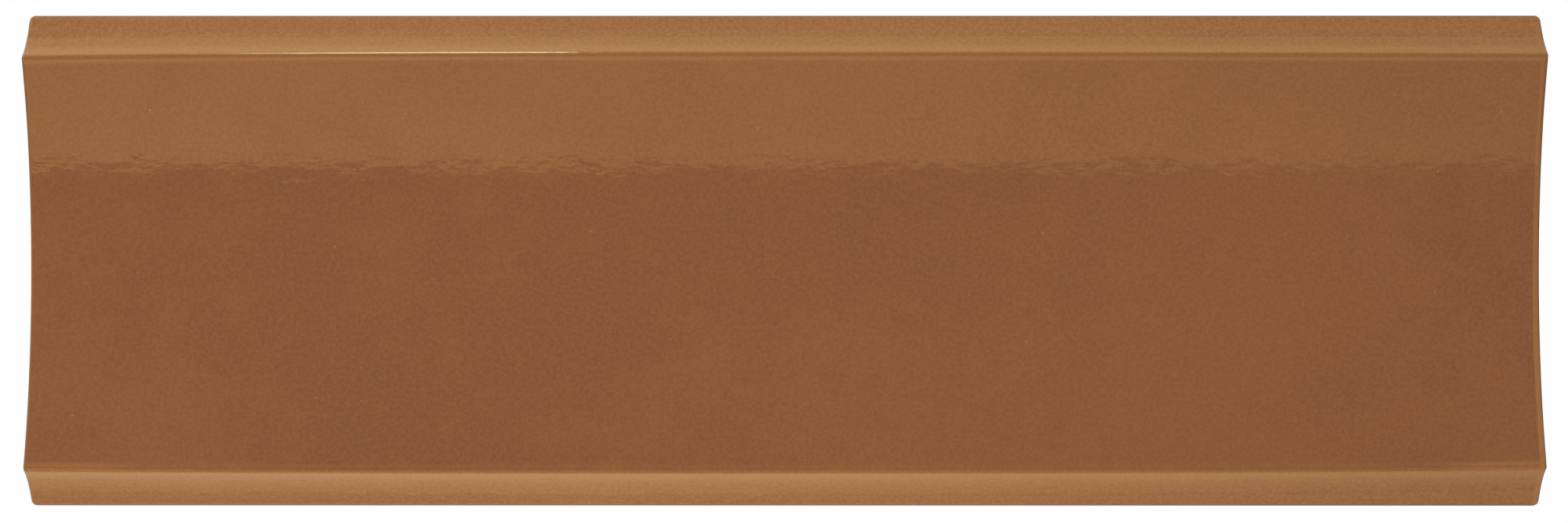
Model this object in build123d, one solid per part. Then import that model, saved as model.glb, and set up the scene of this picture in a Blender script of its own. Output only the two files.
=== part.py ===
from build123d import *
import os
from math import sqrt

# Glazed ceramic wall tile with a hollowed face between two long ridges.
# The tile lies on its back. X runs along it, Y across it and Z out of the glazed face.
# The origin is the middle of the back, and all sizes are in millimetres.

# Format and thicknesses, all heights measured from the back.
LENGTH = 200.0
WIDTH = 65.0
RIDGE_HEIGHT = 13.0
FLOOR_HEIGHT = 7.5
RIM_HEIGHT = 7.4

# Section of the face: two ridge noses, the hollow between them and the cheeks outside them.
RIDGE_INSET = 5.2
NOSE_RADIUS = 0.7
CHEEK_RADIUS = 14.0

# Edges: corners seen from above, glazed arris round the face and bare arris round the back.
CORNER_RADIUS = 0.7
ARRIS_RADIUS = 0.5
BACK_CHAMFER = 0.5

# Adhesive keys: shallow slots pressed into the back, with a draft so that the punch lets go.
KEY_WIDTH = 3.6
KEY_PITCH = 6.0
KEY_DEPTH = 0.8
KEY_DRAFT = 20.0
KEY_MARGIN = 5.0


def outer_meeting_point(centre_a, reach_a, centre_b, reach_b):
    """The point at the given reach from each of two centres, on the left going from a to b."""
    span = centre_b - centre_a
    along = (reach_a**2 - reach_b**2 + span.length**2) / (2 * span.length)
    aside = sqrt(reach_a**2 - along**2)
    forward = span.normalized()
    left = Vector(-forward.Y, forward.X)
    return centre_a + forward * along + left * aside


def face_section():
    """Closed section of the tile, drawn with Y to the right and Z up."""
    half_width = WIDTH / 2
    ridge_offset = half_width - RIDGE_INSET
    hollow_depth = RIDGE_HEIGHT - FLOOR_HEIGHT

    # The hollow is one arc, level at its middle and tangent to both noses.
    centre_distance = (ridge_offset**2 + hollow_depth**2) / (2 * hollow_depth)
    hollow_radius = centre_distance - NOSE_RADIUS
    hollow_centre = Vector(0, FLOOR_HEIGHT + hollow_radius)
    nose_centre = Vector(ridge_offset, RIDGE_HEIGHT - NOSE_RADIUS)
    hollow_end = hollow_centre + (nose_centre - hollow_centre).normalized() * hollow_radius

    # The cheek is an arc, hollow as well, that leaves the nose and ends at the long edge.
    rim = Vector(half_width, RIM_HEIGHT)
    cheek_centre = outer_meeting_point(
        nose_centre, CHEEK_RADIUS + NOSE_RADIUS, rim, CHEEK_RADIUS
    )
    cheek_start = nose_centre + (cheek_centre - nose_centre).normalized() * NOSE_RADIUS

    nose_top = nose_centre + Vector(0, NOSE_RADIUS)
    back_corner = Vector(half_width, 0)
    right_half = Curve() + [
        ThreePointArc(hollow_end, nose_top, cheek_start),
        RadiusArc(cheek_start, rim, -CHEEK_RADIUS),
        Line(rim, back_corner),
        Line(back_corner, (0, 0)),
    ]
    hollow_start = Vector(-hollow_end.X, hollow_end.Y)
    hollow = ThreePointArc(hollow_start, (0, FLOOR_HEIGHT), hollow_end)
    return make_face(right_half + mirror(right_half, about=Plane.YZ) + hollow)


def stands_upright(face):
    """True for the side walls, the end walls and the rounded corners between them."""
    return abs(face.normal_at(face.center()).Z) < 1e-6


def pressed_body():
    """The tile with its corners and edges, before its back is keyed."""
    body = extrude(Plane.YZ * face_section(), amount=LENGTH / 2, both=True)
    body = fillet(body.edges().filter_by(Axis.Z), CORNER_RADIUS)

    walls = body.faces().filter_by(stands_upright)
    face_outline = walls.edges().filter_by(lambda edge: edge.bounding_box().min.Z > RIM_HEIGHT / 2)
    body = fillet(face_outline, ARRIS_RADIUS)

    back = body.faces().sort_by(Axis.Z)[0]
    return chamfer(back.edges(), BACK_CHAMFER)


def adhesive_keys():
    """The slots in the back, as many as fit across it side by side."""
    room = WIDTH - 2 * KEY_MARGIN - KEY_WIDTH
    count = int(room // KEY_PITCH) + 1
    slot = SlotOverall(LENGTH - 2 * KEY_MARGIN, KEY_WIDTH)
    slots = Sketch() + GridLocations(0, KEY_PITCH, 1, count) * slot
    return extrude(slots, amount=KEY_DEPTH, taper=KEY_DRAFT, dir=(0, 0, 1))


tile = pressed_body() - adhesive_keys()
tile.label = "tile"

os.makedirs("parts", exist_ok=True)
export_step(tile, "parts/tile.step")
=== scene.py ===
import math
from types import SimpleNamespace

import bmesh
import bpy
from mathutils import Matrix, Vector, noise


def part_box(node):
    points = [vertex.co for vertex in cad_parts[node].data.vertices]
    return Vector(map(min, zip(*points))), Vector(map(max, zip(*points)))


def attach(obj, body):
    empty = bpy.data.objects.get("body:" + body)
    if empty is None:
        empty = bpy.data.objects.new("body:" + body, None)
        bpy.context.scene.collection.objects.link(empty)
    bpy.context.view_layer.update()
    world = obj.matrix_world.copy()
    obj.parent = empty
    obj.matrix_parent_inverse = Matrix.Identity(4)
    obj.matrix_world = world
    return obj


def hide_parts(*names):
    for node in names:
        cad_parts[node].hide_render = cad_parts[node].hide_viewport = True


# A long glazed wall tile with a hollowed face, lying on its back and seen from above.
# X runs along the tile, Y across it and Z out of the glazed face. Lengths are in metres.

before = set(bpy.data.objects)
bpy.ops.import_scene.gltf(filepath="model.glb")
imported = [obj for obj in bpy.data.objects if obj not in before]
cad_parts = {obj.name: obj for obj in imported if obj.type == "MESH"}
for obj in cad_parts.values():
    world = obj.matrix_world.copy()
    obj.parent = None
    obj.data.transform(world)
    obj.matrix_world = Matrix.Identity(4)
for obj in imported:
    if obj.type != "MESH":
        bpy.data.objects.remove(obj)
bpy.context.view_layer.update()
TILE_LOW, TILE_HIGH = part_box("tile")

MM = 0.001
X_AXIS = Vector((1, 0, 0))
NEXT_TO_NOTHING = 0.001 * MM

# Section of the face, as in the solid.
LENGTH = TILE_HIGH.x - TILE_LOW.x
HALF_LENGTH = LENGTH / 2
HALF_WIDTH = (TILE_HIGH.y - TILE_LOW.y) / 2
RIDGE_HEIGHT = TILE_HIGH.z
FLOOR_HEIGHT = 7.5 * MM
RIM_HEIGHT = 7.4 * MM
RIDGE_INSET = 5.2 * MM
NOSE_RADIUS = 0.7 * MM
CHEEK_RADIUS = 14.0 * MM
CORNER_RADIUS = 0.7 * MM
ARRIS_RADIUS = 0.5 * MM
BACK_CHAMFER = 0.5 * MM

# Adhesive keys in the back.
KEY_WIDTH = 3.6 * MM
KEY_PITCH = 6.0 * MM
KEY_DEPTH = 0.8 * MM
KEY_DRAFT = math.radians(20)
KEY_MARGIN = 5.0 * MM

# How finely the mesh follows the section and the length.
HOLLOW_STEPS = 24
NOSE_STEPS = 10
CHEEK_STEPS = 6
ROUNDING_STEPS = 5
CHAMFER_STEPS = 1
LENGTH_CUTS = 119
KEY_END_STEPS = 24

# How the script tells edges, walls and the two finishes apart.
SHARP_ANGLE = math.radians(35)
UPRIGHT_LIMIT = 0.01
LONG_EDGE = 0.9 * LENGTH
GLAZED_SLOT = 0
BARE_SLOT = 1

# Hand of the press and the kiln: ridges drawn in towards their ends and a slightly uneven face.
# A draw is how far a ridge lies further in than in the solid.
UPPER_MIDDLE_DRAW = 0.2 * MM
UPPER_LEFT_DRAW = 0.71 * MM
UPPER_RIGHT_DRAW = 0.38 * MM
LOWER_MIDDLE_DRAW = -0.05 * MM
LOWER_LEFT_DRAW = 0.23 * MM
LOWER_RIGHT_DRAW = 0.48 * MM
DRAW_POWER = 3
DRAW_REACH = 12.0 * MM
WAVE_HEIGHT = 0.012 * MM
WAVE_LENGTH = 32.0 * MM

# Camera, fitted to the outline in a picture of 2000 by 667.
CAMERA_PLACE = Vector((0.98, 8.93, 493.0)) * MM
CAMERA_TURN = (math.radians(-1.061), math.radians(0.126), 0.0)
CAMERA_LENS = 84.13
CAMERA_SENSOR = 36.0


def srgb(red, green, blue):
    """A colour read off a screen, from 0 to 255, as the linear colour that the shaders take."""
    def linear(value):
        share = value / 255
        return share / 12.92 if share <= 0.04045 else ((share + 0.055) / 1.055) ** 2.4

    return (linear(red), linear(green), linear(blue), 1.0)


# Glaze colours, from dark to pale: browns where it lies thick, paler where it has run thin; the
# gold and thin ones also carry painted reflection and highlights.
GLAZE_DARK_HAIRLINE = srgb(98, 52, 30)
GLAZE_DEEP = srgb(135, 84, 55)
GLAZE_WARM = srgb(141, 89, 57)
GLAZE_THIN_AND_HIGHLIT = srgb(163, 110, 68)
GLAZE_GOLD_AND_REFLECTION = srgb(165, 115, 57)
GLAZE_PALE = srgb(194, 138, 90)
GLAZE_PINHOLE = srgb(178, 116, 64)

# Gloss of the glaze.
GLAZE_SHEEN = srgb(255, 200, 124)
GLAZE_IOR = 1.52
GLAZE_SMOOTH = 0.035
GLAZE_DULL = 0.05

# Clouds, grain and relief in the glaze. The depth of the pinholes is in heights of the peel.
CLOUD_SIZE = 40.0 * MM
MOTTLE_SIZE = 7.0 * MM
GRAIN_SIZE = 0.45 * MM
RIPPLE_SIZE = 1.7 * MM
RIPPLE_STRETCH = (0.5, 1.0, 1.0)
RIPPLE_HEIGHT = 0.052 * MM
PEEL_HEIGHT = 0.0004 * MM
PINHOLE_DEPTH = 4.0
HOLLOW_GRAIN = 0.13
CHEEK_GRAIN = 0.26
MOTTLE_IN_CLOUDS = 0.4
PINHOLES = {"Cells": 500.0, "Size": 0.07, "Share": 0.25}

# Noise: the values between which a field has most of its spread, and its finer layers.
NOISE_SPREAD = (0.3, 0.7)
CLOUD_SPREAD = (0.36, 0.64)
FINE_DETAIL = 3.0
GRAINY = 0.6

# Where the glaze lies thin, and where reflection and shade are painted into it: shares of its
# colours, widths from an edge, the height of the painted reflection step on the upper cheek and
# drops below the ridge. Facings say how far the surface faces outwards or up.
CHEEK_FACING = (0.42, 0.56)
# Painted reflection: at this height the gold steps up on the upper cheek, where the reflection of
# the horizon would end.
UPPER_REFLECTION_STEP = 9.9 * MM
REFLECTION_STEP_SOFTNESS = 0.1 * MM
REFLECTION_STEP_WANDER = 0.5 * MM
UPPER_CHEEK_AT_EDGE = 0.25
UPPER_CHEEK_AT_RIDGE = 0.55
LOWER_CHEEK_AT_EDGE = 0.25
LOWER_CHEEK_AT_RIDGE = 0.75
CHEEKS_AT_NOSE = 0.95
NOSE_FADE = 2.1 * MM
# Painted shade: the cheeks are less golden towards the right end, where less light falls.
CHEEKS_SHADED_AT_RIGHT_END = 0.88
# Painted reflection: a pale band just inside the ridges, lifting the nose where the softbox would
# mirror, with painted highlights near the ends of the lower ridge.
RIDGE_BAND_START = 0.03 * MM
RIDGE_BAND_PEAK = 0.09 * MM
RIDGE_BAND_END = 0.34 * MM
RIDGE_BAND_AT_TOP = 0.5
UPPER_RIDGE_BAND = 0.65
LOWER_RIDGE_BAND = 0.2
LOWER_RIDGE_BAND_AT_ENDS = 0.75
LOWER_BAND_REACH = 16.0 * MM
# The left end band is thinner glaze and partly a painted highlight of light from the left.
LEFT_BAND_START = 0.1 * MM
LEFT_BAND_WIDTH = 0.55 * MM
LEFT_BAND_SHARE = 0.5
RIGHT_BAND_START = 0.75 * MM
RIGHT_BAND_WIDTH = 1.05 * MM
RIGHT_BAND_SHARE = 0.9
RIGHT_BAND_AT_TOP = 0.3
RIGHT_BAND_FULL_AT = -HALF_WIDTH / 3
END_BAND_WANDER = 0.4 * MM
# A darker hairline along the long edges and the right end.
HAIRLINE_WIDTH = 0.24 * MM
HAIRLINE_SHARE = 0.6
HAIRLINE_FACING = (0.05, 0.3)
NOSE_GLOSS = 0.6
NOSE_GLOSS_RISE = (0.1, 0.25)
NOSE_GLOSS_FALL = (0.6, 0.75)

# Fired body, bare below the glaze line.
CLAY_PALE = srgb(214, 194, 168)
CLAY_DARK = srgb(196, 170, 140)
CLAY_SPECK = srgb(140, 104, 74)
CLAY_CLOUD_SIZE = 30.0 * MM
CLAY_CLOUD_SHARE = 0.35
CLAY_GRAIN_SIZE = 0.45 * MM
CLAY_GRAIN_SHARE = 0.35
CLAY_GRAININESS = 0.7
CLAY_SPECKS = {"Cells": 420.0, "Size": 0.14, "Share": 0.35}
CLAY_SPECK_SHARE = 0.5
CLAY_SMOOTH = 0.78
CLAY_DULL = 0.95
CLAY_BUMP_STRENGTH = 0.5
CLAY_BUMP_HEIGHT = 0.05 * MM
GLAZE_LINE = 3.35 * MM
GLAZE_LINE_SOFTNESS = 0.15 * MM
GLAZE_LINE_WANDER = 2.6 * MM
GLAZE_RUN_LENGTH = 26.0 * MM

# Specks and pinholes have a number of cells to a metre, a size as a share of a cell, and the
# share of cells that hold one. These two values give their shape.
SMALLEST_SPECK = 0.4
SPECK_SHARPNESS = 2.0

# Floor, sky and the camera's range.
FLOOR_HALF_SIZE = 4.0
FLOOR_DROP = 0.02 * MM
FLOOR_ROUGHNESS = 0.9
FLOOR_AT_LEFT = (0.85, 0.85, 0.85, 1.0)
# Painted shade: the floor is greyer towards the right, where less light falls; the glaze mirrors
# it.
FLOOR_SHADED_AT_RIGHT = (0.45, 0.45, 0.45, 1.0)
FLOOR_GLOW_SEEN = 0.985
FLOOR_GLOW_MIRRORED = 0.15
SKY_AT_HORIZON = 0.7
SKY_OVERHEAD = 0.25
SKY_FADE = (0.05, 0.8)
WHITE = (1.0, 1.0, 1.0, 1.0)
NEAREST_SEEN = 0.01
FURTHEST_SEEN = 20.0


# Mesh of the tile


def outer_meeting_point(centre_a, reach_a, centre_b, reach_b):
    """The point at the given reach from each of two centres, on the left going from a to b."""
    span = centre_b - centre_a
    along = (reach_a**2 - reach_b**2 + span.length**2) / (2 * span.length)
    aside = math.sqrt(reach_a**2 - along**2)
    forward = span.normalized()
    left = Vector((0, -forward.z, forward.y))
    return centre_a + forward * along + left * aside


def lean(direction):
    """How far a direction across the tile leans from upright, positive towards +Y."""
    return math.atan2(direction.y, direction.z)


def carry_on_arc(bm, vertex, centre, angle, steps):
    """Carries the section on from its last vertex along an arc, and gives the new last one."""
    spun = bmesh.ops.spin(
        bm, geom=[vertex], cent=centre, axis=X_AXIS, angle=angle, steps=steps, use_duplicate=False
    )
    return next(item for item in spun["geom_last"] if isinstance(item, bmesh.types.BMVert))


def draw_section(bm):
    """Draws the open section, from one back corner over the face to the other, at one end."""
    ridge_offset = HALF_WIDTH - RIDGE_INSET
    hollow_depth = RIDGE_HEIGHT - FLOOR_HEIGHT
    hollow_radius = (ridge_offset**2 + hollow_depth**2) / (2 * hollow_depth) - NOSE_RADIUS
    hollow_centre = Vector((0, 0, FLOOR_HEIGHT + hollow_radius))
    nose_centre = Vector((0, ridge_offset, RIDGE_HEIGHT - NOSE_RADIUS))
    rim = Vector((0, HALF_WIDTH, RIM_HEIGHT))
    cheek_centre = outer_meeting_point(nose_centre, CHEEK_RADIUS + NOSE_RADIUS, rim, CHEEK_RADIUS)

    hollow_lean = lean(nose_centre - hollow_centre) - math.pi
    hollow_turn = -math.remainder(hollow_lean, math.tau)
    cheek_lean = lean(cheek_centre - nose_centre)
    rim_lean = lean(cheek_centre - rim)

    vertex = bm.verts.new((0, 0, FLOOR_HEIGHT))
    vertex = carry_on_arc(bm, vertex, hollow_centre, hollow_turn, HOLLOW_STEPS)
    vertex = carry_on_arc(bm, vertex, nose_centre, -(hollow_turn + cheek_lean), NOSE_STEPS)
    vertex = carry_on_arc(bm, vertex, cheek_centre, cheek_lean - rim_lean, CHEEK_STEPS)
    back_corner = bm.verts.new((0, HALF_WIDTH, 0))
    bm.edges.new((vertex, back_corner))
    bmesh.ops.mirror(bm, geom=bm.verts[:] + bm.edges[:], axis="Y", merge_dist=NEXT_TO_NOTHING)
    bmesh.ops.translate(bm, verts=bm.verts[:], vec=X_AXIS * -HALF_LENGTH)


def verts_of(geometry):
    return [item for item in geometry if isinstance(item, bmesh.types.BMVert)]


def close_end(bm, place):
    """Closes the section at one end with a flat wall."""
    def at_end(vertex):
        return abs(vertex.co.x - place) < NEXT_TO_NOTHING

    edges = [edge for edge in bm.edges if all(at_end(v) for v in edge.verts)]
    corners = [v for edge in edges for v in edge.verts if v.co.z < NEXT_TO_NOTHING]
    edges.append(bm.edges.new(corners))
    bmesh.ops.contextual_create(bm, geom=edges)


def stands_upright(face):
    return abs(face.normal.z) < UPRIGHT_LIMIT


def is_wall_corner(edge):
    """True for the upright edges between two walls."""
    return len(edge.link_faces) == 2 and all(stands_upright(face) for face in edge.link_faces)


def is_face_outline(edge):
    """True for the edges between an upright wall and the glazed face."""
    walls = [face for face in edge.link_faces if stands_upright(face)]
    return len(edge.link_faces) == 2 and len(walls) == 1


def round_edges(bm, edges, size, segments):
    bmesh.ops.bevel(
        bm, geom=edges, offset=size, affect="EDGES", segments=segments, profile=0.5, material=-1,
        clamp_overlap=False,
    )
    bm.normal_update()


def add_key_outline(bm, middle, height, radius, run):
    """One slot outline: a ring pulled apart along the tile, so that its ends stay round."""
    half_step = math.pi / KEY_END_STEPS
    place = Matrix.Translation((0, middle, height)) @ Matrix.Rotation(half_step, 4, "Z")
    ring = bmesh.ops.create_circle(
        bm, cap_ends=False, radius=radius, segments=KEY_END_STEPS, matrix=place
    )["verts"]
    for side in (-1, 1):
        half = [v for v in ring if v.co.x * side > 0]
        bmesh.ops.translate(bm, verts=half, vec=X_AXIS * side * run / 2)
    return list({edge for v in ring for edge in v.link_edges})


def press_keys(bm):
    """Presses the slots into the back, each narrower at its bottom than at its mouth."""
    mouth_radius = KEY_WIDTH / 2
    bottom_radius = mouth_radius - KEY_DEPTH * math.tan(KEY_DRAFT)
    run = LENGTH - 2 * KEY_MARGIN - KEY_WIDTH
    room = 2 * HALF_WIDTH - 2 * KEY_MARGIN - KEY_WIDTH
    count = int(room // KEY_PITCH) + 1
    for index in range(count):
        middle = (index - (count - 1) / 2) * KEY_PITCH
        mouth = add_key_outline(bm, middle, 0, mouth_radius, run)
        bottom = add_key_outline(bm, middle, KEY_DEPTH, bottom_radius, run)
        bmesh.ops.bridge_loops(bm, edges=mouth + bottom)
        bmesh.ops.contextual_create(bm, geom=bottom)


def close_back(bm):
    """Chamfers the back edge, presses the keys and fills the flat land around them."""
    rim_edges = [edge for edge in bm.edges if edge.is_boundary]
    cover = bmesh.ops.contextual_create(bm, geom=rim_edges)["faces"][0]
    round_edges(bm, list(cover.edges), BACK_CHAMFER, CHAMFER_STEPS)
    back = min(bm.faces, key=lambda face: face.calc_center_median().z)
    bmesh.ops.delete(bm, geom=[back], context="FACES_ONLY")
    press_keys(bm)
    open_edges = [edge for edge in bm.edges if edge.is_boundary]
    bmesh.ops.triangle_fill(bm, use_beauty=True, edges=open_edges, normal=(0, 0, -1))


def cut_along_length(bm):
    """Divides the long faces, so that the face can be shaped along its length."""
    long_edges = [
        edge for edge in bm.edges
        if edge.calc_length() > LONG_EDGE and min(v.co.z for v in edge.verts) > RIM_HEIGHT / 2
    ]
    bmesh.ops.subdivide_edges(bm, edges=long_edges, cuts=LENGTH_CUTS, use_grid_fill=True)


def smooth_step(low, high, value):
    share = min(1.0, max(0.0, (value - low) / (high - low)))
    return share * share * (3 - 2 * share)


def shape_by_hand(bm):
    """Draws the ridges in towards their ends and lets the glazed face wave a little."""
    ridge_offset = HALF_WIDTH - RIDGE_INSET
    middle_draws = {1: UPPER_MIDDLE_DRAW, -1: LOWER_MIDDLE_DRAW}
    end_draws = {
        (1, -1): UPPER_LEFT_DRAW, (1, 1): UPPER_RIGHT_DRAW,
        (-1, -1): LOWER_LEFT_DRAW, (-1, 1): LOWER_RIGHT_DRAW,
    }
    for vertex in bm.verts:
        place = vertex.co
        if place.z < RIM_HEIGHT - ARRIS_RADIUS:
            continue
        side = 1 if place.y > 0 else -1
        end = 1 if place.x > 0 else -1
        near_end = abs(place.x / HALF_LENGTH) ** DRAW_POWER
        distance = abs(abs(place.y) - ridge_offset)
        reach = DRAW_REACH if abs(place.y) < ridge_offset else RIDGE_INSET
        near_ridge = 1 - smooth_step(0, reach, distance)
        wave = noise.noise(place / WAVE_LENGTH) * WAVE_HEIGHT
        draw = middle_draws[side] * (1 - near_end) + end_draws[side, end] * near_end
        place.y -= side * draw * near_ridge
        place.z += wave


def mark_sharp_edges(bm):
    for edge in bm.edges:
        edge.smooth = edge.calc_face_angle(0.0) < SHARP_ANGLE
    for face in bm.faces:
        face.smooth = True


def build_tile():
    """The tile as one closed mesh, glazed in its first material and bare in its second."""
    bm = bmesh.new()
    draw_section(bm)
    sheet = bmesh.ops.extrude_edge_only(bm, edges=bm.edges[:])["geom"]
    bmesh.ops.translate(bm, verts=verts_of(sheet), vec=X_AXIS * LENGTH)
    for place in (-HALF_LENGTH, HALF_LENGTH):
        close_end(bm, place)
    bmesh.ops.recalc_face_normals(bm, faces=bm.faces[:])
    bm.normal_update()
    wall_corners = [edge for edge in bm.edges if is_wall_corner(edge)]
    round_edges(bm, wall_corners, CORNER_RADIUS, ROUNDING_STEPS)
    face_outline = [edge for edge in bm.edges if is_face_outline(edge)]
    round_edges(bm, face_outline, ARRIS_RADIUS, ROUNDING_STEPS)
    close_back(bm)
    cut_along_length(bm)
    bmesh.ops.remove_doubles(bm, verts=bm.verts[:], dist=NEXT_TO_NOTHING)
    bmesh.ops.recalc_face_normals(bm, faces=bm.faces[:])
    shape_by_hand(bm)
    mark_sharp_edges(bm)
    for face in bm.faces:
        on_back = face.calc_center_median().z < KEY_DEPTH + NEXT_TO_NOTHING
        face.material_index = BARE_SLOT if on_back else GLAZED_SLOT
    mesh = bpy.data.meshes.new("glazed_tile")
    bm.to_mesh(mesh)
    bm.free()
    tile = bpy.data.objects.new("glazed_tile", mesh)
    bpy.context.scene.collection.objects.link(tile)
    even = tile.modifiers.new("even_normals", "WEIGHTED_NORMAL")
    even.keep_sharp = True
    return tile


# Shader nodes


def add_node(tree, kind, settings=None, inputs=None):
    """Adds a node, sets its properties, and sets or links its inputs by name or number."""
    node = tree.nodes.new(kind)
    for name, value in (settings or {}).items():
        setattr(node, name, value)
    for name, value in (inputs or {}).items():
        if isinstance(value, bpy.types.NodeSocket):
            tree.links.new(value, node.inputs[name])
        else:
            node.inputs[name].default_value = value
    return node


def math_node(tree, operation, first, second=0.0):
    return add_node(
        tree, "ShaderNodeMath", {"operation": operation}, {0: first, 1: second}
    ).outputs[0]


def times(tree, first, second):
    return math_node(tree, "MULTIPLY", first, second)


def ramp_between(tree, value, low, high, low_result=0.0, high_result=1.0):
    """A soft step of a value between two marks."""
    return add_node(
        tree, "ShaderNodeMapRange", {"interpolation_type": "SMOOTHSTEP"},
        {"Value": value, "From Min": low, "From Max": high,
         "To Min": low_result, "To Max": high_result},
    ).outputs[0]


def mix_colour(tree, share, first, second):
    return add_node(
        tree, "ShaderNodeMix", {"data_type": "RGBA"}, {0: share, 6: first, 7: second}
    ).outputs[2]


def mix_value(tree, share, first, second):
    return add_node(
        tree, "ShaderNodeMix", {"data_type": "FLOAT"}, {0: share, 2: first, 3: second}
    ).outputs[0]


def noise_field(tree, place, cell, detail=2.0, roughness=0.5):
    """Cloudy values about one half, with clouds of about the given size."""
    return add_node(
        tree, "ShaderNodeTexNoise", None,
        {"Vector": place, "Scale": 1 / cell, "Detail": detail, "Roughness": roughness},
    ).outputs["Fac"]


def wander(tree, field, amount):
    """A field about one half as a shift to both sides."""
    return times(tree, math_node(tree, "SUBTRACT", field, 0.5), amount)


def new_group(name, inputs, outputs):
    """An empty node group with the named sockets."""
    tree = bpy.data.node_groups.new(name, "ShaderNodeTree")
    for socket_name, kind in inputs:
        tree.interface.new_socket(socket_name, in_out="INPUT", socket_type=kind)
    for socket_name, kind in outputs:
        tree.interface.new_socket(socket_name, in_out="OUTPUT", socket_type=kind)
    entry = tree.nodes.new("NodeGroupInput")
    leave = tree.nodes.new("NodeGroupOutput")
    return tree, entry.outputs, leave


def make_speck_group():
    """Sparse round specks: one to a cell, and only in the given share of the cells."""
    tree, given, leave = new_group(
        "specks",
        [("Place", "NodeSocketVector"), ("Cells", "NodeSocketFloat"),
         ("Size", "NodeSocketFloat"), ("Share", "NodeSocketFloat")],
        [("Mask", "NodeSocketFloat")],
    )
    cells = add_node(
        tree, "ShaderNodeTexVoronoi", None, {"Vector": given["Place"], "Scale": given["Cells"]}
    )
    draw = add_node(tree, "ShaderNodeSeparateColor", None, {"Color": cells.outputs["Color"]})
    chosen = math_node(tree, "LESS_THAN", draw.outputs[0], given["Share"])
    size = times(tree, given["Size"], math_node(tree, "ADD", draw.outputs[1], SMALLEST_SPECK))
    distance = math_node(tree, "DIVIDE", cells.outputs["Distance"], size)
    closeness = times(tree, math_node(tree, "SUBTRACT", 1.0, distance), SPECK_SHARPNESS)
    spot = add_node(tree, "ShaderNodeClamp", None, {"Value": closeness}).outputs[0]
    tree.links.new(times(tree, spot, chosen), leave.inputs["Mask"])
    return tree


def make_clay_group(speck_group):
    """Bare fired clay: pale, matt and a little grainy."""
    tree, given, leave = new_group(
        "fired_clay",
        [("Place", "NodeSocketVector")],
        [("Colour", "NodeSocketColor"), ("Roughness", "NodeSocketFloat"),
         ("Height", "NodeSocketFloat")],
    )
    cloud = noise_field(tree, given["Place"], CLAY_CLOUD_SIZE, FINE_DETAIL)
    grain = noise_field(tree, given["Place"], CLAY_GRAIN_SIZE, FINE_DETAIL, CLAY_GRAININESS)
    specks = add_node(
        tree, "ShaderNodeGroup", {"node_tree": speck_group},
        {"Place": given["Place"], **CLAY_SPECKS},
    ).outputs["Mask"]
    cloudy = ramp_between(tree, cloud, *NOISE_SPREAD, 0.0, CLAY_CLOUD_SHARE)
    grainy = ramp_between(tree, grain, *NOISE_SPREAD, 0.0, CLAY_GRAIN_SHARE)
    base = mix_colour(tree, cloudy, CLAY_PALE, CLAY_DARK)
    base = mix_colour(tree, grainy, base, CLAY_DARK)
    base = mix_colour(tree, times(tree, specks, CLAY_SPECK_SHARE), base, CLAY_SPECK)
    roughness = ramp_between(tree, grain, *NOISE_SPREAD, CLAY_SMOOTH, CLAY_DULL)
    tree.links.new(base, leave.inputs["Colour"])
    tree.links.new(roughness, leave.inputs["Roughness"])
    tree.links.new(math_node(tree, "SUBTRACT", grain, specks), leave.inputs["Height"])
    return tree


def new_material(name):
    material = bpy.data.materials.new(name)
    material.use_nodes = True
    tree = material.node_tree
    return material, tree, tree.nodes["Principled BSDF"]


def make_clay_material(clay_group):
    material, tree, shader = new_material("bare_clay")
    place = tree.nodes.new("ShaderNodeTexCoord").outputs["Object"]
    clay = add_node(tree, "ShaderNodeGroup", {"node_tree": clay_group}, {"Place": place}).outputs
    bump = add_node(
        tree, "ShaderNodeBump", None,
        {"Strength": CLAY_BUMP_STRENGTH, "Distance": CLAY_BUMP_HEIGHT, "Height": clay["Height"]},
    ).outputs[0]
    tree.links.new(clay["Colour"], shader.inputs["Base Color"])
    tree.links.new(clay["Roughness"], shader.inputs["Roughness"])
    tree.links.new(bump, shader.inputs["Normal"])
    return material


# Caramel glaze


def read_surface(tree):
    """Places, directions and the noise fields that the glaze follows."""
    coordinates = tree.nodes.new("ShaderNodeTexCoord").outputs
    place = coordinates["Object"]
    axes = add_node(tree, "ShaderNodeSeparateXYZ", None, {0: place}).outputs
    facing = add_node(tree, "ShaderNodeSeparateXYZ", None, {0: coordinates["Normal"]}).outputs
    outward = times(tree, facing["Y"], math_node(tree, "SIGN", axes["Y"]))
    return SimpleNamespace(
        place=place,
        along=axes["X"],
        across=axes["Y"],
        height=axes["Z"],
        from_end=math_node(tree, "SUBTRACT", HALF_LENGTH, math_node(tree, "ABSOLUTE", axes["X"])),
        from_side=math_node(tree, "SUBTRACT", HALF_WIDTH, math_node(tree, "ABSOLUTE", axes["Y"])),
        upper=math_node(tree, "GREATER_THAN", axes["Y"], 0.0),
        right=math_node(tree, "GREATER_THAN", axes["X"], 0.0),
        upward=facing["Z"],
        outward=outward,
        on_cheek=ramp_between(tree, outward, *CHEEK_FACING),
        cloud=noise_field(tree, place, CLOUD_SIZE),
        mottle=noise_field(tree, place, MOTTLE_SIZE, FINE_DETAIL, GRAINY),
        grain=noise_field(tree, place, GRAIN_SIZE, roughness=GRAINY),
    )


def cloudy_colour(tree, surface):
    """Soft clouds of two browns."""
    clouds = mix_value(tree, MOTTLE_IN_CLOUDS, surface.cloud, surface.mottle)
    return mix_colour(tree, ramp_between(tree, clouds, *CLOUD_SPREAD), GLAZE_DEEP, GLAZE_WARM)


def pale_grain(tree, surface):
    """How much of a pale grain shows, twice as strong on the cheeks as in the hollow."""
    strength = mix_value(tree, surface.on_cheek, HOLLOW_GRAIN, CHEEK_GRAIN)
    return times(tree, ramp_between(tree, surface.grain, *NOISE_SPREAD), strength)


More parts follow.
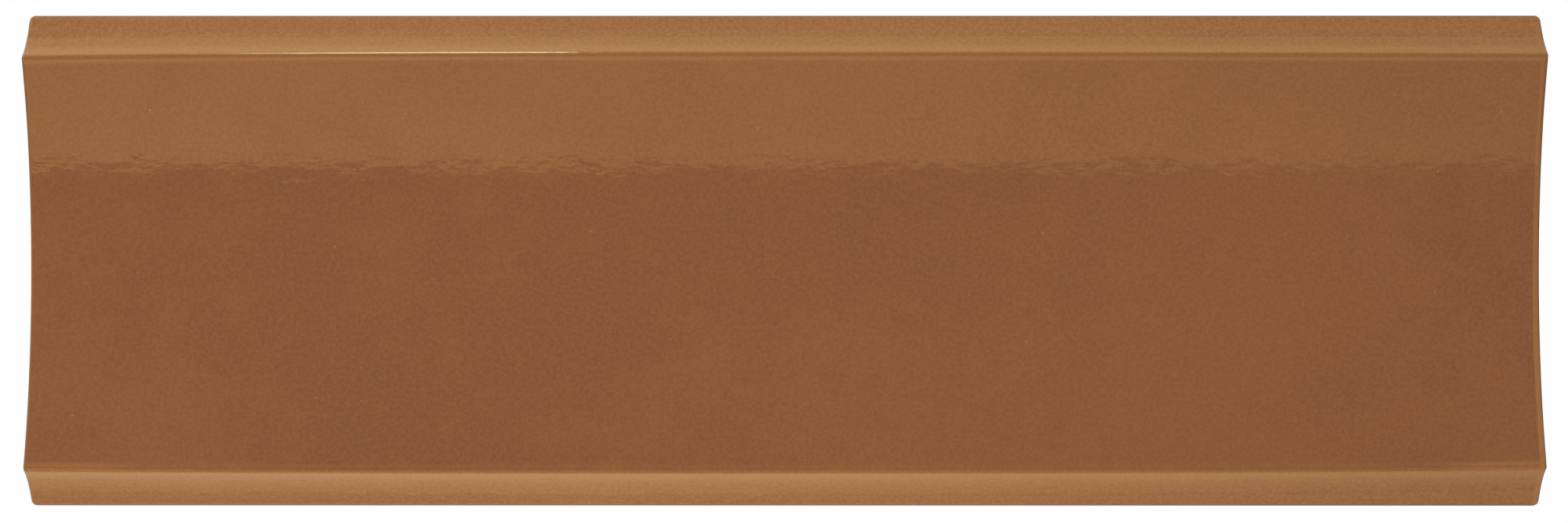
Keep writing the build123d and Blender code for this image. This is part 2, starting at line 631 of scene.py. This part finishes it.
def gold_and_painted_reflection_on_cheeks(tree, surface):
    """How golden the cheeks are, partly thinner glaze and partly painted reflection: most on the
    noses, stepped up on the upper cheek where the horizon's reflection would end, graded brighter
    towards the ridge on the lower one where the floor would mirror, and with painted shade towards
    the right end."""
    reflection_step = math_node(tree, "ADD", surface.height, wander(tree, surface.mottle, REFLECTION_STEP_WANDER))
    upper = ramp_between(
        tree, reflection_step, UPPER_REFLECTION_STEP - REFLECTION_STEP_SOFTNESS, UPPER_REFLECTION_STEP + REFLECTION_STEP_SOFTNESS,
        UPPER_CHEEK_AT_EDGE, UPPER_CHEEK_AT_RIDGE,
    )
    lower = ramp_between(
        tree, surface.height, RIM_HEIGHT, RIDGE_HEIGHT, LOWER_CHEEK_AT_EDGE, LOWER_CHEEK_AT_RIDGE
    )
    share = mix_value(tree, surface.upper, lower, upper)
    on_nose = ramp_between(
        tree, surface.height, RIDGE_HEIGHT - NOSE_FADE, RIDGE_HEIGHT - NOSE_RADIUS
    )
    share = mix_value(tree, on_nose, share, CHEEKS_AT_NOSE)
    shaded_rightwards = ramp_between(tree, surface.along, 0.0, HALF_LENGTH, 1.0, CHEEKS_SHADED_AT_RIGHT_END)
    return times(tree, times(tree, share, shaded_rightwards), surface.on_cheek)


def thin_glaze_and_painted_highlights(tree, surface):
    """A pale band just inside the ridges, which is painted reflection and, near the ends of the
    lower ridge, painted highlights; and a band of thinner glaze along the ends, on the left end
    partly a painted highlight.
    """
    drop = math_node(tree, "SUBTRACT", RIDGE_HEIGHT, surface.height)
    past_top = ramp_between(tree, drop, RIDGE_BAND_START, RIDGE_BAND_PEAK, RIDGE_BAND_AT_TOP, 1.0)
    fading = ramp_between(tree, drop, RIDGE_BAND_PEAK, RIDGE_BAND_END, 1.0, 0.0)
    by_ridge = times(tree, past_top, fading)
    inside = math_node(tree, "SUBTRACT", 1.0, surface.on_cheek)
    away = ramp_between(tree, surface.from_end, LOWER_BAND_REACH / 2, LOWER_BAND_REACH)
    lower_share = mix_value(tree, away, LOWER_RIDGE_BAND_AT_ENDS, LOWER_RIDGE_BAND)
    ridge_share = mix_value(tree, surface.upper, lower_share, UPPER_RIDGE_BAND)
    painted_ridge_band = times(tree, times(tree, by_ridge, inside), ridge_share)

    shift = wander(tree, surface.mottle, END_BAND_WANDER)
    from_end = math_node(tree, "ADD", surface.from_end, shift)
    left_band = ramp_between(tree, from_end, LEFT_BAND_START, LEFT_BAND_WIDTH, LEFT_BAND_SHARE, 0.0)
    right_band = ramp_between(
        tree, from_end, RIGHT_BAND_START, RIGHT_BAND_WIDTH, RIGHT_BAND_SHARE, 0.0
    )
    downwards = ramp_between(
        tree, surface.across, RIGHT_BAND_FULL_AT, HALF_WIDTH, 1.0, RIGHT_BAND_AT_TOP
    )
    end_band = mix_value(tree, surface.right, left_band, times(tree, right_band, downwards))
    return math_node(tree, "MAXIMUM", painted_ridge_band, end_band)


def dark_hairline(tree, surface):
    """A darker hairline along the long edges and the right end, where the surface faces up."""
    from_right = math_node(tree, "SUBTRACT", HALF_LENGTH, surface.along)
    from_outline = math_node(tree, "MINIMUM", from_right, surface.from_side)
    near = ramp_between(tree, from_outline, HAIRLINE_WIDTH / 2, HAIRLINE_WIDTH, HAIRLINE_SHARE, 0.0)
    return times(tree, near, ramp_between(tree, surface.upward, *HAIRLINE_FACING))


def pooled_on_nose(tree, surface):
    """Clear glassy glaze on the outer side of the upper nose, where the light catches."""
    nose_foot = RIDGE_HEIGHT - NOSE_RADIUS
    nose_middle = nose_foot + NOSE_RADIUS / 2
    high = ramp_between(tree, surface.height, nose_foot, nose_middle, 0.0, NOSE_GLOSS)
    past_top = ramp_between(tree, surface.outward, *NOSE_GLOSS_RISE)
    before_cheek = ramp_between(tree, surface.outward, *NOSE_GLOSS_FALL, 1.0, 0.0)
    return times(tree, times(tree, high, surface.upper), times(tree, past_top, before_cheek))


def bare_below_line(tree, surface):
    """One below the wavy line where the glaze ends on the walls."""
    runs = noise_field(tree, surface.place, GLAZE_RUN_LENGTH)
    height = math_node(tree, "ADD", surface.height, wander(tree, runs, GLAZE_LINE_WANDER))
    return ramp_between(
        tree, height, GLAZE_LINE - GLAZE_LINE_SOFTNESS, GLAZE_LINE + GLAZE_LINE_SOFTNESS, 1.0, 0.0
    )


def rippled_normal(tree, surface, pinholes):
    """Ripples that the reflections show, with a fine orange peel and the pinholes in them."""
    stretched = add_node(
        tree, "ShaderNodeVectorMath", {"operation": "MULTIPLY"},
        {0: surface.place, 1: RIPPLE_STRETCH},
    ).outputs[0]
    ripple = noise_field(tree, stretched, RIPPLE_SIZE, FINE_DETAIL)
    rippled = add_node(
        tree, "ShaderNodeBump", None, {"Strength": 1.0, "Distance": RIPPLE_HEIGHT, "Height": ripple}
    ).outputs[0]
    fine = math_node(tree, "SUBTRACT", surface.grain, times(tree, pinholes, PINHOLE_DEPTH))
    return add_node(
        tree, "ShaderNodeBump", None,
        {"Strength": 1.0, "Distance": PEEL_HEIGHT, "Height": fine, "Normal": rippled},
    ).outputs[0]


def make_glaze_material(clay_group, speck_group):
    """Caramel glaze: cloudy, thin over the ridges and edges, ending in a wavy line on the walls."""
    material, tree, shader = new_material("caramel_glaze")
    surface = read_surface(tree)
    pinholes = add_node(
        tree, "ShaderNodeGroup", {"node_tree": speck_group},
        {"Place": surface.place, **PINHOLES},
    ).outputs["Mask"]
    clay = add_node(
        tree, "ShaderNodeGroup", {"node_tree": clay_group}, {"Place": surface.place}
    ).outputs
    bare = bare_below_line(tree, surface)

    colour = cloudy_colour(tree, surface)
    # Painted reflection on the cheeks, partly thinner glaze.
    colour = mix_colour(tree, gold_and_painted_reflection_on_cheeks(tree, surface), colour, GLAZE_GOLD_AND_REFLECTION)
    # Painted reflection and highlights at the ridges and the left end, thinner glaze along the
    # ends.
    colour = mix_colour(tree, thin_glaze_and_painted_highlights(tree, surface), colour, GLAZE_THIN_AND_HIGHLIT)
    colour = mix_colour(tree, pale_grain(tree, surface), colour, GLAZE_PALE)
    colour = mix_colour(tree, pinholes, colour, GLAZE_PINHOLE)
    colour = mix_colour(tree, dark_hairline(tree, surface), colour, GLAZE_DARK_HAIRLINE)
    colour = mix_colour(tree, bare, colour, clay["Colour"])
    gloss = ramp_between(tree, surface.mottle, *NOISE_SPREAD, GLAZE_SMOOTH, GLAZE_DULL)

    tree.links.new(colour, shader.inputs["Base Color"])
    tree.links.new(mix_value(tree, bare, gloss, clay["Roughness"]), shader.inputs["Roughness"])
    tree.links.new(pooled_on_nose(tree, surface), shader.inputs["Coat Weight"])
    tree.links.new(rippled_normal(tree, surface, pinholes), shader.inputs["Normal"])
    shader.inputs["IOR"].default_value = GLAZE_IOR
    shader.inputs["Specular Tint"].default_value = GLAZE_SHEEN
    return material


# Stage


def white_share(tree):
    """How much of the floor is plain white: nearly all where seen, and less in reflections."""
    rays = tree.nodes.new("ShaderNodeLightPath").outputs
    seen = math_node(tree, "MAXIMUM", rays["Is Camera Ray"], rays["Is Transmission Ray"])
    mirrored = times(tree, rays["Is Glossy Ray"], FLOOR_GLOW_MIRRORED)
    return math_node(tree, "MAXIMUM", times(tree, seen, FLOOR_GLOW_SEEN), mirrored)


def add_floor():
    """A floor that shows as white, keeps a faint shadow and has painted shade towards its right,
    which shows in reflections.
    """
    bm = bmesh.new()
    bmesh.ops.create_grid(bm, x_segments=1, y_segments=1, size=FLOOR_HALF_SIZE)
    bmesh.ops.translate(bm, verts=bm.verts[:], vec=(0, 0, -FLOOR_DROP))
    mesh = bpy.data.meshes.new("floor")
    bm.to_mesh(mesh)
    bm.free()
    floor = bpy.data.objects.new("floor", mesh)
    bpy.context.scene.collection.objects.link(floor)

    material, tree, shader = new_material("white_floor")
    place = tree.nodes.new("ShaderNodeTexCoord").outputs["Object"]
    along = add_node(tree, "ShaderNodeSeparateXYZ", None, {0: place}).outputs["X"]
    # Painted shade towards the right.
    shaded_rightwards = ramp_between(tree, along, -HALF_LENGTH, HALF_LENGTH)
    colour = mix_colour(tree, shaded_rightwards, FLOOR_AT_LEFT, FLOOR_SHADED_AT_RIGHT)
    tree.links.new(colour, shader.inputs["Base Color"])
    shader.inputs["Roughness"].default_value = FLOOR_ROUGHNESS
    shader.inputs["Specular IOR Level"].default_value = 0.0
    glow = add_node(tree, "ShaderNodeEmission", None, {"Color": WHITE, "Strength": 1.0}).outputs[0]
    mixed = add_node(
        tree, "ShaderNodeMixShader", None, {0: white_share(tree), 1: shader.outputs[0], 2: glow}
    ).outputs[0]
    tree.links.new(mixed, tree.nodes["Material Output"].inputs["Surface"])
    mesh.materials.append(material)


def light_world():
    """Soft studio light from all round, white at the horizon and dim overhead."""
    world = bpy.data.worlds.new("studio")
    bpy.context.scene.world = world
    world.use_nodes = True
    tree = world.node_tree
    direction = tree.nodes.new("ShaderNodeTexCoord").outputs["Generated"]
    up = add_node(tree, "ShaderNodeSeparateXYZ", None, {0: direction}).outputs["Z"]
    level = ramp_between(tree, up, *SKY_FADE, SKY_AT_HORIZON, SKY_OVERHEAD)
    background = tree.nodes["Background"]
    background.inputs["Color"].default_value = WHITE
    tree.links.new(level, background.inputs["Strength"])


def add_softbox(
    name, lean_degrees, distance, offset, width, height, radiance,
    fade=None, mirrored=True, colour=WHITE[:3],
):
    """A rectangular lamp that leans from upright towards +Y and faces the tile.

    Fade, where given, holds two marks across the lamp from its -X side, as shares of its width,
    and the brightness before and after them. A lamp that isn't mirrored lights the glaze without
    showing in it."""
    lamp = bpy.data.lights.new(name, "AREA")
    lamp.shape = "RECTANGLE"
    lamp.size = width
    lamp.size_y = height
    lamp.color = colour
    lamp.energy = radiance * math.pi * width * height
    angle = math.radians(lean_degrees)
    softbox = bpy.data.objects.new(name, lamp)
    softbox.location = Vector((offset, math.sin(angle) * distance, math.cos(angle) * distance))
    softbox.rotation_euler = (-angle, 0, 0)
    softbox.visible_camera = False
    softbox.visible_glossy = mirrored
    bpy.context.scene.collection.objects.link(softbox)
    if fade is not None:
        lamp.use_nodes = True
        tree = lamp.node_tree
        across = tree.nodes.new("ShaderNodeNewGeometry").outputs["Parametric"]
        share = add_node(tree, "ShaderNodeSeparateXYZ", None, {0: across}).outputs["X"]
        level = ramp_between(tree, share, *fade)
        tree.links.new(level, tree.nodes["Emission"].inputs["Strength"])


def light_studio():
    """One large softbox mirrored in the hollow, a card for each cheek and a strip for the ridge."""
    light_world()
    add_softbox(
        "large_softbox", lean_degrees=-35.6, distance=0.9, offset=0.0, width=1.4, height=0.52,
        radiance=1.7, fade=(0.0, 1.0, 1.0, 0.38),
    )
    add_softbox(
        "upper_card", lean_degrees=58.0, distance=0.6, offset=-0.075, width=0.5, height=0.3,
        radiance=3.5, mirrored=False,
    )
    add_softbox(
        "lower_card", lean_degrees=-65.0, distance=0.2, offset=-0.018, width=0.16, height=0.12,
        radiance=2.48, mirrored=False,
    )
    add_softbox(
        "ridge_strip", lean_degrees=59.0, distance=0.7, offset=-0.139, width=0.14, height=0.32,
        radiance=9.0, fade=(0.1, 0.55, 0.0, 1.0), colour=(0.8, 1.0, 0.98),
    )


def add_camera():
    camera = bpy.data.cameras.new("camera")
    camera.lens = CAMERA_LENS
    camera.sensor_width = CAMERA_SENSOR
    camera.clip_start = NEAREST_SEEN
    camera.clip_end = FURTHEST_SEEN
    holder = bpy.data.objects.new("camera", camera)
    holder.location = CAMERA_PLACE
    holder.rotation_euler = CAMERA_TURN
    bpy.context.scene.collection.objects.link(holder)
    bpy.context.scene.camera = holder


tile = build_tile()
speck_group = make_speck_group()
clay_group = make_clay_group(speck_group)
tile.data.materials.append(make_glaze_material(clay_group, speck_group))
tile.data.materials.append(make_clay_material(clay_group))
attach(tile, "root")
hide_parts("tile")

add_floor()
light_studio()
add_camera()
bpy.context.scene.view_settings.view_transform = "Standard"
